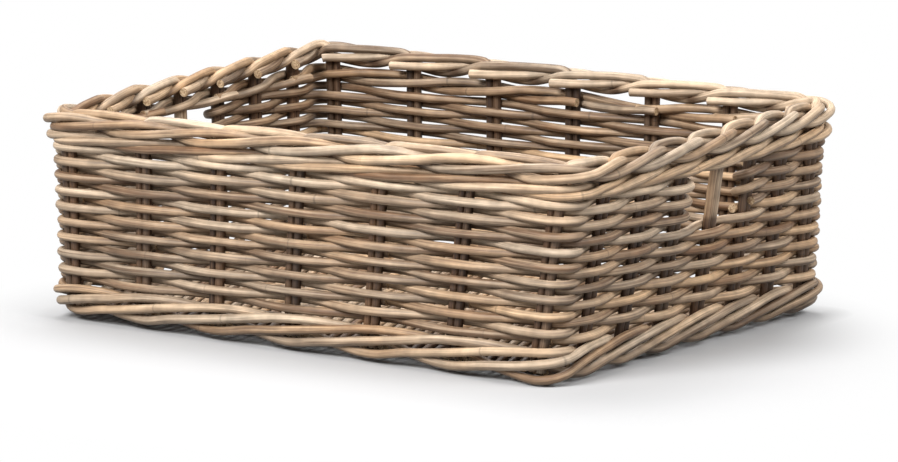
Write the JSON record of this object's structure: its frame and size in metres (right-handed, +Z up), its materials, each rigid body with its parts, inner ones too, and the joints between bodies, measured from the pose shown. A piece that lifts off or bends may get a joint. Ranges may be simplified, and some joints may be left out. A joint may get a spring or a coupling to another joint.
{
  "type": "rattan storage tray",
  "caption": "Shallow open rectangular tray woven from round rattan rods, with a rolled border and a hand hole in each short wall, for storing and carrying small things.",
  "frame": {"origin": "on the floor under the middle of the tray", "axes": "+X along the long side, +Y from the front wall to the back wall, +Z up"},
  "size_m": [0.4629, 0.3401, 0.1495],
  "materials": {
    "stake_rattan": "satin, bare peeled rattan",
    "weaver_rattan": "satin, bare peeled rattan",
    "wale_rattan": "satin, bare peeled rattan",
    "base_rattan": "satin, bare peeled rattan"
  },
  "bodies": {
    "root": {"front_stake_pair_1": "stake_rattan", "front_stake_pair_2": "stake_rattan", "front_stake_pair_3": "stake_rattan", "front_stake_pair_4": "stake_rattan", "front_stake_pair_5": "stake_rattan", "front_stake_pair_6": "stake_rattan", "front_stake_pair_7": "stake_rattan", "right_stake_pair_1": "stake_rattan", "right_stake_pair_2": "stake_rattan", "right_stake_pair_3": "stake_rattan", "right_stake_pair_4": "stake_rattan", "right_stake_pair_5": "stake_rattan", "right_stake_pair_6": "stake_rattan", "right_stake_pair_7": "stake_rattan", "back_stake_pair_1": "stake_rattan", "back_stake_pair_2": "stake_rattan", "back_stake_pair_3": "stake_rattan", "back_stake_pair_4": "stake_rattan", "back_stake_pair_5": "stake_rattan", "back_stake_pair_6": "stake_rattan", "back_stake_pair_7": "stake_rattan", "left_stake_pair_1": "stake_rattan", "left_stake_pair_2": "stake_rattan", "left_stake_pair_3": "stake_rattan", "left_stake_pair_4": "stake_rattan", "left_stake_pair_5": "stake_rattan", "left_stake_pair_6": "stake_rattan", "left_stake_pair_7": "stake_rattan", "wall_weaver_1": "weaver_rattan", "wall_weaver_2": "weaver_rattan", "wall_weaver_3": "weaver_rattan", "wall_weaver_4": "weaver_rattan", "wall_weaver_5": "weaver_rattan", "wall_weaver_6": "weaver_rattan", "wall_weaver_7": "weaver_rattan", "wall_weaver_8": "weaver_rattan", "wall_weaver_9": "weaver_rattan", "wall_weaver_10": "weaver_rattan", "wall_weaver_11": "weaver_rattan", "wall_weaver_12": "weaver_rattan", "handle_weaver_front": "weaver_rattan", "handle_weaver_back": "weaver_rattan", "foot_wale_rod_1": "wale_rattan", "foot_wale_rod_2": "wale_rattan", "foot_wale_rod_3": "wale_rattan", "top_wale_rod_1": "wale_rattan", "top_wale_rod_2": "wale_rattan", "top_wale_rod_3": "wale_rattan", "base_stick_1": "base_rattan", "base_stick_2": "base_rattan", "base_stick_3": "base_rattan", "base_stick_4": "base_rattan", "base_stick_5": "base_rattan", "base_stick_6": "base_rattan", "base_stick_7": "base_rattan", "base_weave": "base_rattan"}
  },
  "joints": []
}
